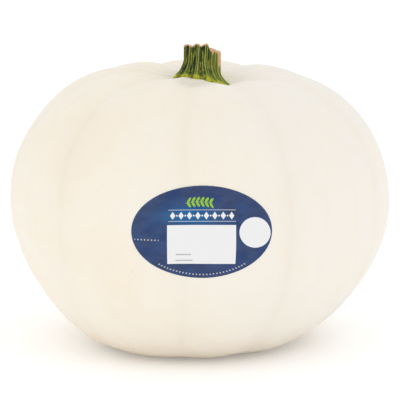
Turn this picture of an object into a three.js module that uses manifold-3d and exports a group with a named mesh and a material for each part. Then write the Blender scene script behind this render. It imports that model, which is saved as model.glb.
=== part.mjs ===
// A white ghost pumpkin as picked and sold: the ribbed fruit, the fluted stump of its cut stem, and the
// oval paper label stuck to its front. Millimetres, +Z up, -Y towards the viewer. The pumpkin stands on
// the flat undersides of its ribs at z = 0, and the middle of its bounding box is over the origin.
import * as THREE from "three";
import { mergeVertices } from "three/addons/utils/BufferGeometryUtils.js";
import Module from "manifold-3d";

// The fruit's rounded body, about its widest level. Its outline is a superellipse, and squareness is the
// exponent: 2 is an ellipse, and more than 2 is fuller at the corner.
const WIDEST_RADIUS = 120;
const FRONT_TO_BACK = 0.985;
const HEIGHT_ABOVE_WIDEST = 85;
const DEPTH_BELOW_WIDEST = 99;
const TOP_SQUARENESS = 2.35;
const BOTTOM_SQUARENESS = 1.88;
const DIAGONAL_FULLNESS = -0.034;
const FINE_FULLNESS = -0.006;
const LEAN_OF_UNDERSIDE = -6;

// The underside, which settled under the fruit's weight: it levels out softly towards SETTLED_DEPTH, and
// what is lower than REST_DEPTH is pressed flat.
const SETTLED_DEPTH = 89;
const SETTLING = 5;
const REST_DEPTH = 85.6;

// The hollows at the two ends of the growing axis, and the corky button that the flower left.
const STEM_HOLLOW = { x: 6.6, y: -6.5, depth: 7.9, width: 29.8 };
const BLOSSOM_HOLLOW = { depth: 7.5, width: 24 };
const BLOSSOM_BUTTON = { height: 1.8, radius: 6.5 };

// The valleys between the ribs: how deep they are at the widest level, and how much deeper or, below 0,
// shallower towards each end. Azimuth is in degrees, 0 at the front and 90 at the right; strength is a
// share of the depth.
const RIB_DEPTH = 1;
const RIB_GAIN_AT_TOP = 1.6;
const RIB_GAIN_AT_BOTTOM = -0.2;
const RIB_FADE_RADIUS = 24;
const VALLEYS = [
  { azimuth: -44.5, strength: 1.0 },
  { azimuth: -3.9, strength: 0.9 },
  { azimuth: 28.6, strength: 1.15 },
  { azimuth: 68.7, strength: 0.9 },
  { azimuth: 108.9, strength: 1.0 },
  { azimuth: 149, strength: 1.15 },
  { azimuth: 178, strength: 0.8 },
  { azimuth: 206, strength: 1.1 },
  { azimuth: 242.5, strength: 1.25 },
  { azimuth: 279, strength: 1.0 },
];

// Broad swellings and hollows that make the fruit uneven. Polar is in degrees from straight up. The first
// three are the shoulders of the ribs round the stem.
const LUMPS = [
  { azimuth: -5, polar: 12.7, spread: 7.3, height: 4.8 },
  { azimuth: 81, polar: 17.6, spread: 11.5, height: -4 },
  { azimuth: -98, polar: 29, spread: 26, height: 1.5 },
  { azimuth: -90, polar: 62, spread: 18, height: -2.8 },
  { azimuth: -90, polar: 128, spread: 23, height: -7.8 },
  { azimuth: 92, polar: 93, spread: 21, height: 3 },
  { azimuth: 165, polar: 75, spread: 24, height: 2 },
  { azimuth: 225, polar: 112, spread: 22, height: -2 },
];

// The stem's stump, with heights measured from its foot, which follows the fruit: lower on the right than
// on the left, and lower at both sides than at the front and back. The foot stands a little to the right of
// the post, by shift. Flutes are the valleys between the ridges, and they are deepest between the toes.
const STEM_AXIS = { x: 3.2, y: 0 };
const STEM_FOOT = { level: 77.9, drop: 0.15, saddle: 1.4, radius: 19.2, height: 11, shift: 1.7, buried: 7 };
const FOOT_FLARE = 2;
const STEM_RADIUS = 11.3;
const STEM_TOP = { level: 98, tilt: 0.22, cup: 1.6 };
const STEM_LOBES = { count: 11, turn: 2.05, height: 1.3, above: 0.4, bluntness: 3.6 };
const STEM_STEP = { x: 7.5, drop: 1.1, width: 1.2, slope: 0.4, tilt: 0.08 };
const STEM_TWIST = 9;
const RIDGES = 17;
const RIDGE_SHARPNESS = 1.4;
const RIDGE_DRIFT = { start: 0.087, angle: 0.117, count: 3, turn: 2.88 };
const FLUTE_DEPTH = { side: 1.1, toe: 2.2 };
const MAIN_RIDGES = { count: 5, height: 0.55, turn: 1 };

// The label: an oval cut from a flat sheet, laid on the fruit.
const LABEL = { azimuth: 1.65, polar: 87.9, width: 85.8, height: 56.7, thickness: 0.6, bridging: 0.5 };

// What is left between one piece and the next.
const GAP = 0.3;

// How finely each surface is divided.
const FRUIT_RINGS = 36;
const COLUMNS_PER_RIB = 9;
const COLUMNS_PER_RIDGE = 6;
const STEM_LEVELS = 12;
const STEM_LEVELS_TOWARDS_FOOT = 1.3;
const STEM_TOP_RINGS = 3;
const LABEL_RINGS = 6;
const LABEL_COLUMNS = 44;

const rad = THREE.MathUtils.degToRad;
const wasm = await Module();
wasm.setup();

// A closed mesh as a manifold solid.
function solidOf(geometry) {
  const bare = geometry.clone();
  bare.deleteAttribute("normal");
  bare.deleteAttribute("uv");
  const merged = mergeVertices(bare, 1e-4);
  return new wasm.Manifold(
    new wasm.Mesh({
      numProp: 3,
      vertProperties: new Float32Array(merged.attributes.position.array),
      triVerts: new Uint32Array(merged.index.array),
    }),
  );
}

// A manifold solid as a geometry.
function geometryOf(solid) {
  const { numProp, vertProperties, triVerts } = solid.getMesh();
  const points = new THREE.InterleavedBuffer(vertProperties, numProp);
  const geometry = new THREE.BufferGeometry();
  geometry.setAttribute("position", new THREE.InterleavedBufferAttribute(points, 3, 0));
  geometry.setIndex(new THREE.BufferAttribute(triVerts, 1));
  return geometry.toNonIndexed();
}

// A closed surface from rings of points, which run anticlockwise seen from the first pole. A ring of
// one point is a pole.
function skin(rings) {
  const triangles = [];
  const add = (a, b, c) => triangles.push(...a.toArray(), ...b.toArray(), ...c.toArray());
  for (let i = 0; i + 1 < rings.length; i++) {
    const upper = rings[i];
    const lower = rings[i + 1];
    const count = Math.max(upper.length, lower.length);
    for (let j = 0; j < count; j++) {
      const k = (j + 1) % count;
      if (lower.length > 1) add(upper[j % upper.length], lower[j], lower[k]);
      if (upper.length > 1) add(upper[j], lower[k % lower.length], upper[k]);
    }
  }
  const geometry = new THREE.BufferGeometry();
  geometry.setAttribute("position", new THREE.Float32BufferAttribute(triangles, 3));
  return geometry;
}

// How deep the valleys between the ribs are at an azimuth, as a share of their depth: a round-bottomed
// valley at each listed azimuth, wider at the ends of the fruit, and nothing midway between two of them.
function valleyShare(azimuth, endness) {
  const first = VALLEYS[0].azimuth;
  const turned = THREE.MathUtils.euclideanModulo(azimuth - first, 360) + first;
  const last = VALLEYS.findLastIndex((valley) => valley.azimuth <= turned);
  const left = VALLEYS[last];
  const right = VALLEYS[(last + 1) % VALLEYS.length];
  const width = THREE.MathUtils.euclideanModulo(right.azimuth - left.azimuth, 360);
  const across = (turned - left.azimuth) / width;
  const edge = Math.abs(2 * across - 1);
  const strength = across < 0.5 ? left.strength : right.strength;
  const narrow = edge ** 4 * (5 - 4 * edge);
  const wide = edge ** 2 * (3 - 2 * edge);
  return strength * THREE.MathUtils.lerp(narrow, wide, endness);
}

// The height of the swellings and hollows at a direction.
function lumpHeight(polar, azimuth) {
  return LUMPS.reduce((height, lump) => {
    const near =
      Math.sin(polar) * Math.sin(rad(lump.polar)) * Math.cos(rad(azimuth - lump.azimuth)) +
      Math.cos(polar) * Math.cos(rad(lump.polar));
    return height + lump.height * Math.exp((near - 1) / (1 - Math.cos(rad(lump.spread))));
  }, 0);
}

// A height below the widest level once the underside has settled.
function settledHeight(height) {
  return -SETTLED_DEPTH + SETTLING * Math.log1p(Math.exp((height + SETTLED_DEPTH) / SETTLING));
}

// A point of the fruit's surface. Polar is in radians from straight up, azimuth in degrees. raised
// pushes it out, and ribbed below 1 makes the valleys shallower.
function fruitPoint(polar, azimuth, raised = 0, ribbed = 1) {
  const across = Math.sin(polar);
  const up = Math.cos(polar);
  const above = up > 0;
  const squareness = above ? TOP_SQUARENESS : BOTTOM_SQUARENESS;
  const half = above ? HEIGHT_ABOVE_WIDEST : DEPTH_BELOW_WIDEST;
  const level = (across / WIDEST_RADIUS) ** squareness + (Math.abs(up) / half) ** squareness;
  const round = level ** (-1 / squareness);
  const full = round * (1 + DIAGONAL_FULLNESS * Math.cos(4 * polar) + FINE_FULLNESS * Math.cos(6 * polar));
  const body = full + lumpHeight(polar, azimuth) + raised;
  const radius = body * across;
  const height = above ? body * up : settledHeight(body * up);

  const gain = above ? RIB_GAIN_AT_TOP : RIB_GAIN_AT_BOTTOM;
  const fade = 1 - Math.exp(-((radius / RIB_FADE_RADIUS) ** 2));
  const ribs = ribbed * RIB_DEPTH * (1 + gain * up ** 2) * fade * valleyShare(azimuth, up ** 2);
  const lean = above ? 0 : LEAN_OF_UNDERSIDE * (height / half) ** 2;
  const x = (radius - ribs * across) * Math.sin(rad(azimuth)) + lean;
  const y = -(radius - ribs * across) * Math.cos(rad(azimuth)) * FRONT_TO_BACK;
  const z = height - ribs * up;
  if (above) {
    const apart = Math.hypot(x - STEM_HOLLOW.x, y - STEM_HOLLOW.y) / STEM_HOLLOW.width;
    return new THREE.Vector3(x, y, z - STEM_HOLLOW.depth * Math.exp(-(apart ** 2)));
  }
  const hollow = BLOSSOM_HOLLOW.depth * Math.exp(-((radius / BLOSSOM_HOLLOW.width) ** 2));
  const button = BLOSSOM_BUTTON.height * Math.exp(-((radius / BLOSSOM_BUTTON.radius) ** 4));
  return new THREE.Vector3(x, y, Math.max(z + hollow - button, -REST_DEPTH - raised));
}

// The azimuths of the fruit's columns, with one along every valley.
function fruitColumns() {
  return VALLEYS.flatMap((valley, i) => {
    const next = VALLEYS[(i + 1) % VALLEYS.length].azimuth;
    const width = THREE.MathUtils.euclideanModulo(next - valley.azimuth, 360);
    return Array.from({ length: COLUMNS_PER_RIB }, (_, j) => valley.azimuth + (width * j) / COLUMNS_PER_RIB);
  });
}

// The fruit's whole surface, pushed out by raised.
function fruitSurface(raised = 0) {
  const columns = fruitColumns();
  const rings = Array.from({ length: FRUIT_RINGS + 1 }, (_, i) => {
    const polar = (Math.PI * i) / FRUIT_RINGS;
    const atPole = i === 0 || i === FRUIT_RINGS;
    return (atPole ? [0] : columns).map((azimuth) => fruitPoint(polar, azimuth, raised));
  });
  return skin(rings);
}

// A ridge's height at a turn about the stem, 0 in a flute and 1 on the crest. The ridges stand closer
// together on some sides than on others.
function ridgeShare(turn) {
  const drift = RIDGE_DRIFT.angle * Math.sin(RIDGE_DRIFT.count * turn + RIDGE_DRIFT.turn);
  const drifted = turn + RIDGE_DRIFT.start + drift;
  return 1 - Math.abs(Math.sin((drifted * RIDGES) / 2)) ** RIDGE_SHARPNESS;
}

// The level of the stem's foot at a turn.
function footLevel(turn) {
  const tilt = STEM_FOOT.drop * STEM_FOOT.radius * Math.cos(turn);
  return STEM_FOOT.level - tilt - STEM_FOOT.saddle * Math.cos(2 * turn);
}

// How much of its spread the stem's foot has at a height above it.
function footSpread(height) {
  return THREE.MathUtils.clamp(1 - height / STEM_FOOT.height, 0, 1);
}

// The stem's radius at a turn in radians and a height above its foot.
function stemRadius(turn, height) {
  const spread = footSpread(height);
  const foot = (STEM_FOOT.radius - STEM_RADIUS) * spread ** FOOT_FLARE;
  const main = MAIN_RIDGES.height * Math.cos(turn * MAIN_RIDGES.count + MAIN_RIDGES.turn);
  const depth = THREE.MathUtils.lerp(FLUTE_DEPTH.side, FLUTE_DEPTH.toe, spread);
  return STEM_RADIUS + foot + main - depth * (1 - ridgeShare(turn));
}

// The level of the cut end at a point beside the stem's axis: tilted back, lower past the step and sloping
// down from there, cupped in the middle, with blunt lobes round the rim.
function cutLevel(x, y, turn, share) {
  const beyond = x - (STEM_STEP.x - STEM_AXIS.x);
  const past = 1 / (1 + Math.exp(-beyond / (STEM_STEP.width / 4)));
  const step = past * (STEM_STEP.drop + STEM_STEP.slope * beyond - STEM_STEP.tilt * y);
  const cup = STEM_TOP.cup * (1 - share ** 2);
  const dip = Math.abs(Math.sin(((turn + STEM_LOBES.turn) * STEM_LOBES.count) / 2)) ** STEM_LOBES.bluntness;
  const lobe = STEM_LOBES.height * (STEM_LOBES.above - dip) * share ** 6;
  return STEM_TOP.level - STEM_TOP.tilt * y - step - cup + lobe;
}

// The stem before its foot is fitted to the fruit.
function stemBlank() {
  const count = RIDGES * COLUMNS_PER_RIDGE;
  const ring = (rise, share) =>
    Array.from({ length: count }, (_, j) => {
      const turn = (2 * Math.PI * j) / count;
      const bottom = footLevel(turn) - STEM_FOOT.buried;
      const level = THREE.MathUtils.lerp(bottom, STEM_TOP.level, rise);
      const height = level - footLevel(turn);
      const radius = stemRadius(turn, height) * share;
      const aside = STEM_FOOT.shift * footSpread(height) ** 2;
      const x = radius * Math.cos(turn + rad(STEM_TWIST) * rise) + aside;
      const y = radius * Math.sin(turn + rad(STEM_TWIST) * rise);
      const top = cutLevel(x, y, turn, share);
      return new THREE.Vector3(x, y, THREE.MathUtils.lerp(bottom, top, rise));
    });
  const cut = Array.from({ length: STEM_TOP_RINGS }, (_, i) => ring(1, (i + 1) / STEM_TOP_RINGS));
  const rises = Array.from({ length: STEM_LEVELS }, (_, i) => 1 - (i + 1) / STEM_LEVELS);
  const sides = rises.map((rise) => ring(rise ** STEM_LEVELS_TOWARDS_FOOT, 1));
  const middle = new THREE.Vector3(0, 0, cutLevel(0, 0, 0, 0));
  const foot = new THREE.Vector3(0, 0, STEM_FOOT.level - STEM_FOOT.buried);
  return skin([[middle], ...cut, ...sides, [foot]]).translate(STEM_AXIS.x, STEM_AXIS.y, 0);
}

// The stem, its foot cut to follow the fruit with a gap.
function stemGeometry() {
  const fruit = solidOf(fruitSurface(GAP));
  return geometryOf(solidOf(stemBlank()).subtract(fruit));
}

// A point of the label. Share is 0 in the middle and 1 at the edge, and raised is the height above the fruit.
function labelPoint(share, turn, raised) {
  const sideways = (LABEL.width / 2) * share * Math.cos(turn);
  const upwards = (LABEL.height / 2) * share * Math.sin(turn);
  const azimuth = LABEL.azimuth + THREE.MathUtils.radToDeg(sideways / WIDEST_RADIUS);
  const polar = rad(LABEL.polar) - upwards / WIDEST_RADIUS;
  return fruitPoint(polar, azimuth, raised, LABEL.bridging);
}

// The label as a thin closed sheet.
function labelGeometry() {
  const turns = Array.from({ length: LABEL_COLUMNS }, (_, j) => (2 * Math.PI * j) / LABEL_COLUMNS);
  const ring = (share, raised) => turns.map((turn) => labelPoint(share, turn, raised));
  const shares = Array.from({ length: LABEL_RINGS }, (_, i) => (i + 1) / LABEL_RINGS);
  const outer = GAP + LABEL.thickness;
  const face = shares.map((share) => ring(share, outer));
  const back = shares.toReversed().map((share) => ring(share, GAP));
  return skin([[labelPoint(0, 0, outer)], ...face, ...back, [labelPoint(0, 0, GAP)]]);
}

// Finishes.
const rind = new THREE.MeshStandardMaterial({ color: 0xf3ecdd, roughness: 0.48, metalness: 0 });
const greenStem = new THREE.MeshStandardMaterial({ color: 0x6a7a32, roughness: 0.42, metalness: 0 });
const bluePaper = new THREE.MeshStandardMaterial({ color: 0x2f4a80, roughness: 0.35, metalness: 0 });

function piece(name, geometry, material) {
  geometry.computeVertexNormals();
  const mesh = new THREE.Mesh(geometry, material);
  mesh.name = name;
  return mesh;
}

const pumpkin = new THREE.Group();
pumpkin.add(
  piece("fruit", fruitSurface(), rind),
  piece("stem", stemGeometry(), greenStem),
  piece("label", labelGeometry(), bluePaper),
);

// The whole pumpkin stands with the middle of its bounding box over the origin.
const box = new THREE.Box3().setFromObject(pumpkin, true);
const middle = box.getCenter(new THREE.Vector3());
pumpkin.position.set(-middle.x, -middle.y, -box.min.z);

export default pumpkin;
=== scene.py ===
"""The looks of a white ghost pumpkin: its ribbed rind, the fluted stump of its stem and its paper label.

Sizes are in millimetres about the middle of the fruit's widest level, as the solids are drawn, and the
finished meshes are in metres in the frame of the solids. Azimuth is 0 at the front and 90 at the right.
"""

import logging
import math
from collections.abc import Iterable
from dataclasses import dataclass, field
from enum import Enum
from typing import Union

import bpy
import numpy as np
from mathutils import Matrix, Vector

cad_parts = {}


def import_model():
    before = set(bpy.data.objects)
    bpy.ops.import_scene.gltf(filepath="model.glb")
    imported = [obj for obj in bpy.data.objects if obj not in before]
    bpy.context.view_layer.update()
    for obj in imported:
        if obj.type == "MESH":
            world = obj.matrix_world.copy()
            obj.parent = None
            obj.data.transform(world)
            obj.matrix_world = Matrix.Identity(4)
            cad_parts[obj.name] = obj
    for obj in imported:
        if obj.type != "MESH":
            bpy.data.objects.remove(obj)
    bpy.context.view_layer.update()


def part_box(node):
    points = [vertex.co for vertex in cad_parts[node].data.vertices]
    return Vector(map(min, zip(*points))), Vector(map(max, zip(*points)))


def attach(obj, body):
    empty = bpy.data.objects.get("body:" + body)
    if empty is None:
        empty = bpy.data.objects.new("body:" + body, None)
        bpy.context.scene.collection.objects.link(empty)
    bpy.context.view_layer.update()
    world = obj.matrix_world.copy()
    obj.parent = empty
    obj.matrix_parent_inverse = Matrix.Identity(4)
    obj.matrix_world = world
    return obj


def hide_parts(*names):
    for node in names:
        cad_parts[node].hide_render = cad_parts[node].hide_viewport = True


LOG = logging.getLogger("ghost_pumpkin")
METRES = 0.001
GROUP_NODES = {"GeometryNodeTree": "GeometryNodeGroup", "ShaderNodeTree": "ShaderNodeGroup"}


class TreeKind(Enum):
    """What a node tree makes."""

    GEOMETRY = "GeometryNodeTree"
    SHADER = "ShaderNodeTree"


class SocketKind(Enum):
    """What a socket of a node tree carries."""

    NUMBER = "NodeSocketFloat"
    COUNT = "NodeSocketInt"
    VECTOR = "NodeSocketVector"
    MESH = "NodeSocketGeometry"
    FINISH = "NodeSocketMaterial"


class Field:
    """A value that nodes work out, for use in plain arithmetic."""

    def __init__(self, tree: bpy.types.NodeTree, socket: bpy.types.NodeSocket) -> None:
        """Keeps the tree and the socket that carries the value."""
        self.tree = tree
        self.socket = socket

    def math(self, operation: str, *others: "Number") -> "Field":
        """One Math node on this value.

        Args:
            operation: the Math node's operation.
            others: its further inputs.

        Returns:
            What the node puts out.
        """
        node = self.tree.nodes.new("ShaderNodeMath")
        node.operation = operation
        for port, value in zip(node.inputs, (self, *others)):
            feed(value, port)
        return Field(self.tree, node.outputs[0])

    def __add__(self, other: "Number") -> "Field":
        """The sum."""
        return self.math("ADD", other)

    def __sub__(self, other: "Number") -> "Field":
        """The difference."""
        return self.math("SUBTRACT", other)

    def __mul__(self, other: "Number") -> "Field":
        """The product."""
        return self.math("MULTIPLY", other)

    def __truediv__(self, other: "Number") -> "Field":
        """The quotient."""
        return self.math("DIVIDE", other)

    def __pow__(self, other: "Number") -> "Field":
        """The power."""
        return self.math("POWER", other)

    def __neg__(self) -> "Field":
        """The value with its sign turned."""
        return self.math("MULTIPLY", -1.0)

    def __rsub__(self, other: float) -> "Field":
        """A number less this value."""
        return -self + other

    def __rtruediv__(self, other: float) -> "Field":
        """A number over this value."""
        return self.math("POWER", -1.0) * other

    __radd__ = __add__
    __rmul__ = __mul__

    def abs(self) -> "Field":
        """The value without its sign."""
        return self.math("ABSOLUTE")

    def sin(self) -> "Field":
        """The sine of an angle in radians."""
        return self.math("SINE")

    def cos(self) -> "Field":
        """The cosine of an angle in radians."""
        return self.math("COSINE")

    def exp(self) -> "Field":
        """The number e to the power of the value."""
        return self.math("EXPONENT")

    def above(self, limit: float) -> "Field":
        """1 where the value is over the limit, and 0 elsewhere."""
        return self.math("GREATER_THAN", limit)

    def clamped(self) -> "Field":
        """The value held between 0 and 1."""
        return self.math("MAXIMUM", 0.0).math("MINIMUM", 1.0)

    def step(self, start: float, end: float) -> "Field":
        """A smooth rise from 0 at start to 1 at end, which may be the lower of the two."""
        share = ((self - start) / (end - start)).clamped()
        return share * share * (3.0 - share * 2.0)

    def within(self, half: float, edge: float) -> "Field":
        """1 where the value is under half and 0 where it is over, with a soft edge."""
        return self.step(half + edge, half - edge)


Number = Union[Field, float]
Value = Union[Field, float, tuple, str, bpy.types.Material]


def feed(value: Value, port: bpy.types.NodeSocket) -> None:
    """Joins a field to a socket, or sets a plain value on it."""
    if isinstance(value, Field):
        value.tree.links.new(value.socket, port)
    else:
        port.default_value = value


def mix(low: Number, high: Number, share: Field) -> Field:
    """The value share of the way from low to high."""
    if isinstance(low, Field):
        return low + (high - low) * share
    return share * (high - low) + low


def hypot(a: Field, b: Field) -> Field:
    """The length of the hypotenuse over two sides."""
    return (a * a + b * b).math("SQRT")


def numbers(*names: str) -> dict[str, SocketKind]:
    """Sockets of the given names that carry numbers."""
    return dict.fromkeys(names, SocketKind.NUMBER)


class Tree:
    """A node tree that is being put together."""

    def __init__(self, nodes: bpy.types.NodeTree) -> None:
        """Keeps the tree."""
        self.nodes = nodes

    @classmethod
    def group(
        cls, kind: TreeKind, name: str, inputs: dict[str, SocketKind], outputs: dict[str, SocketKind]
    ) -> "Tree":
        """A new node group.

        Args:
            kind: what it makes.
            name: its name.
            inputs: the name of each input and what it carries.
            outputs: the name of each output and what it carries.

        Returns:
            The group, with its input and output nodes.
        """
        made = cls(bpy.data.node_groups.new(name, kind.value))
        for in_out, sockets in (("INPUT", inputs), ("OUTPUT", outputs)):
            for title, carries in sockets.items():
                made.nodes.interface.new_socket(title, in_out=in_out, socket_type=carries.value)
        made.start = made.nodes.nodes.new("NodeGroupInput")
        made.end = made.nodes.nodes.new("NodeGroupOutput")
        return made

    def given(self, name: str) -> Field:
        """The value of one of the group's inputs."""
        return Field(self.nodes, self.start.outputs[name])

    def give(self, name: str, value: Field) -> None:
        """Sends a value to one of the group's outputs."""
        feed(value, self.end.inputs[name])

    def node(self, kind: str, inputs: dict | None = None, output: int | str = 0, **settings: object) -> Field:
        """A new node.

        Args:
            kind: Blender's name for it.
            inputs: a value for each of its sockets, by name or place.
            output: the output that is wanted.
            settings: values of its own properties.

        Returns:
            The wanted output.
        """
        made = self.nodes.nodes.new(kind)
        for name, value in settings.items():
            setattr(made, name, value)
        for name, value in (inputs or {}).items():
            ports = [made.inputs[name]] if isinstance(name, int) else self.open_ports(made, name)
            feed(value, ports[0])
        return Field(self.nodes, made.outputs[output])

    @staticmethod
    def open_ports(node: bpy.types.Node, name: str) -> list[bpy.types.NodeSocket]:
        """The node's inputs of that name that are in use."""
        return [port for port in node.inputs if port.name == name and port.enabled]

    def vector(self, x: Number, y: Number, z: Number) -> Field:
        """A vector from its three parts."""
        return self.node("ShaderNodeCombineXYZ", {0: x, 1: y, 2: z})

    def parts(self, vector: Field) -> tuple[Field, Field, Field]:
        """The three parts of a vector."""
        first = self.node("ShaderNodeSeparateXYZ", {0: vector})
        outputs = first.socket.node.outputs
        return first, Field(self.nodes, outputs[1]), Field(self.nodes, outputs[2])

    def noise(self, place: Field, size: float, detail: float = 2.0, roughness: float = 0.5) -> Field:
        """Even noise about 0.5, with lumps of about the given size in the units of place."""
        inputs = {"Vector": place, "Scale": 1.0 / size, "Detail": detail, "Roughness": roughness}
        return self.node("ShaderNodeTexNoise", inputs)

    def colour(self, low: "Field | tuple", high: "Field | tuple", share: Number) -> Field:
        """The colour share of the way from low to high."""
        made = self.nodes.nodes.new("ShaderNodeMix")
        made.data_type = "RGBA"
        feed(share, made.inputs[0])
        feed(low, self.open_ports(made, "A")[0])
        feed(high, self.open_ports(made, "B")[0])
        return Field(self.nodes, next(port for port in made.outputs if port.enabled))

    def layers(self, colour: Field, *coats: tuple["Field | tuple", Number]) -> Field:
        """A colour with coats laid over it in turn, each a colour and its share."""
        for tint, share in coats:
            colour = self.colour(colour, tint, share)
        return colour

    def use(self, group: bpy.types.NodeTree, inputs: dict[str, Value]) -> tuple[Field, ...]:
        """Places a node group in this tree.

        Args:
            group: the node group.
            inputs: a value for each of its inputs.

        Returns:
            All that it puts out, in its own order.
        """
        made = self.nodes.nodes.new(GROUP_NODES[group.bl_idname])
        made.node_tree = group
        for name, value in inputs.items():
            feed(value, made.inputs[name])
        return tuple(Field(self.nodes, port) for port in made.outputs)


def rgb(red: int, green: int, blue: int) -> tuple[float, float, float, float]:
    """A colour given as it looks on a screen, 0 to 255, as the numbers that Blender mixes."""

    def linear(value: int) -> float:
        share = value / 255.0
        return share / 12.92 if share <= 0.04045 else ((share + 0.055) / 1.055) ** 2.4

    return (linear(red), linear(green), linear(blue), 1.0)


@dataclass(frozen=True)
class Valley:
    """A valley between two ribs, at an azimuth in degrees. Strength is a share of the ribs' depth."""

    azimuth: float
    strength: float


@dataclass(frozen=True)
class Lump:
    """A broad swelling, or a hollow if its height is below 0. Angles are in degrees, polar from the top."""

    azimuth: float
    polar: float
    spread: float
    height: float

    def direction(self) -> tuple[float, float, float]:
        """The way it faces, as a unit vector."""
        across = math.sin(math.radians(self.polar))
        turn = math.radians(self.azimuth)
        return (across * math.sin(turn), -across * math.cos(turn), math.cos(math.radians(self.polar)))


@dataclass
class Skin:
    """The rule that the fruit's surface follows. The solids follow the same rule."""

    widest_radius: float = 120.0
    front_to_back: float = 0.985
    height_above: float = 85.0
    depth_below: float = 99.0
    top_squareness: float = 2.35
    bottom_squareness: float = 1.88
    diagonal_fullness: float = -0.034
    fine_fullness: float = -0.006
    lean_of_underside: float = -6.0
    settled_depth: float = 89.0
    settling: float = 5.0
    rest_depth: float = 85.6
    hollow_x: float = 6.6
    hollow_y: float = -6.5
    hollow_depth: float = 7.9
    hollow_width: float = 29.8
    blossom_depth: float = 7.5
    blossom_width: float = 24.0
    button_height: float = 1.8
    button_radius: float = 6.5
    rib_depth: float = 1.0
    rib_gain_at_top: float = 1.6
    rib_gain_at_bottom: float = -0.2
    rib_fade_radius: float = 24.0
    valleys: tuple[Valley, ...] = (
        Valley(-44.5, 1.0),
        Valley(-3.9, 0.9),
        Valley(28.6, 1.15),
        Valley(68.7, 0.9),
        Valley(108.9, 1.0),
        Valley(149.0, 1.15),
        Valley(178.0, 0.8),
        Valley(206.0, 1.1),
        Valley(242.5, 1.25),
        Valley(279.0, 1.0),
    )
    lumps: tuple[Lump, ...] = (
        Lump(-5.0, 12.7, 7.3, 4.8),
        Lump(81.0, 17.6, 11.5, -4.0),
        Lump(-98.0, 29.0, 26.0, 1.5),
        Lump(-90.0, 62.0, 18.0, -2.8),
        Lump(-90.0, 128.0, 23.0, -7.8),
        Lump(92.0, 93.0, 21.0, 3.0),
        Lump(165.0, 75.0, 24.0, 2.0),
        Lump(225.0, 112.0, 22.0, -2.0),
    )
    crease_narrowness: float = 18.0
    dent_height: float = 0.45
    dent_size: float = 30.0
    pucker_height: float = 0.22
    puckers: int = 64

    def valley_share(self, azimuth: Field, endness: Field) -> tuple[Field, Field]:
        """How deep the valleys are at an azimuth in degrees, as a share of the ribs' depth.

        Args:
            azimuth: the azimuth, from -180 to 180.
            endness: 0 at the widest level and 1 at the ends, where valleys are wider.

        Returns:
            0 midway between two valleys and the valley's strength along it; and the narrow crease along the
            bottom of each valley, from 0 to 1.
        """
        total: Number = 0.0
        crease: Number = 0.0
        for place, valley in enumerate(self.valleys):
            before = (valley.azimuth - self.valleys[place - 1].azimuth) % 360.0
            after = (self.valleys[(place + 1) % len(self.valleys)].azimuth - valley.azimuth) % 360.0
            aside = (azimuth - valley.azimuth + 180.0).math("FLOORED_MODULO", 360.0) - 180.0
            reach = mix(before / 2.0, after / 2.0, aside.above(0.0))
            edge = (1.0 - aside.abs() / reach).math("MAXIMUM", 0.0)
            narrow = edge**4.0 * (5.0 - edge * 4.0)
            wide = edge**2.0 * (3.0 - edge * 2.0)
            total = mix(narrow, wide, endness) * valley.strength + total
            crease = edge**self.crease_narrowness + crease
        return total, crease

    def group(self) -> bpy.types.NodeTree:
        """The rule as a node group, from a direction to the point of the skin in millimetres."""
        tree = Tree.group(
            TreeKind.GEOMETRY,
            "Pumpkin skin",
            {"Direction": SocketKind.VECTOR} | numbers("Raised", "Ribbed", *self.sizes()),
            {"Position": SocketKind.VECTOR} | numbers("Valley", "Crease"),
        )
        direction = tree.given("Direction")
        raised = tree.given("Raised")
        dx, dy, up = tree.parts(direction)
        across = hypot(dx, dy).math("MAXIMUM", 1e-6)
        polar = up.math("ARCCOSINE")
        side_x = dx / across
        side_y = dy / across
        azimuth = side_x.math("ARCTAN2", -side_y) * math.degrees(1.0)
        above = up.above(0.0)

        squareness = mix(self.bottom_squareness, self.top_squareness, above)
        half = mix(tree.given("Depth below"), tree.given("Height above"), above)
        level = (across / tree.given("Widest radius")) ** squareness + (up.abs() / half) ** squareness
        diagonal = (polar * 4.0).cos() * self.diagonal_fullness
        fine = (polar * 6.0).cos() * self.fine_fullness
        body = level ** (-1.0 / squareness) * (diagonal + fine + 1.0) + raised
        for lump in self.lumps:
            x, y, z = lump.direction()
            near = dx * x + dy * y + up * z
            body = body + ((near - 1.0) / (1.0 - math.cos(math.radians(lump.spread)))).exp() * lump.height
        dents = tree.noise(direction, self.dent_size / self.widest_radius) - 0.5
        body = body + dents * tree.given("Dent height")

        radius = body * across
        height = body * up
        sunk = (((height + self.settled_depth) / self.settling).exp() + 1.0).math("LOGARITHM", math.e)
        height = mix(sunk * self.settling - self.settled_depth, height, above)

        valley, crease = self.valley_share(azimuth, up * up)
        gain = mix(self.rib_gain_at_bottom, self.rib_gain_at_top, above) * up * up + 1.0
        fade = 1.0 - (-((radius / self.rib_fade_radius) ** 2.0)).exp()
        near_end = (-((radius / (self.rib_fade_radius * 2.0)) ** 2.0)).exp() * fade
        puckers = (azimuth * math.radians(self.puckers)).sin() * near_end * self.pucker_height
        ribs = tree.given("Ribbed") * tree.given("Rib depth") * gain * fade * valley + puckers
        lean = (height / half) ** 2.0 * self.lean_of_underside * (1.0 - above)
        x = (radius - ribs * across) * side_x + lean
        y = (radius - ribs * across) * side_y * self.front_to_back
        z = height - ribs * up

        aside = hypot(x - self.hollow_x, y - self.hollow_y) / self.hollow_width
        hollow = (-(aside**2.0)).exp() * self.hollow_depth
        blossom = (-((radius / self.blossom_width) ** 2.0)).exp() * self.blossom_depth
        button = (-((radius / self.button_radius) ** 4.0)).exp() * self.button_height
        underside = (z + blossom - button).math("MAXIMUM", -raised - self.rest_depth)
        tree.give("Position", tree.vector(x, y, mix(underside, z - hollow, above)))
        tree.give("Valley", valley)
        tree.give("Crease", crease * fade)
        return tree.nodes

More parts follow.
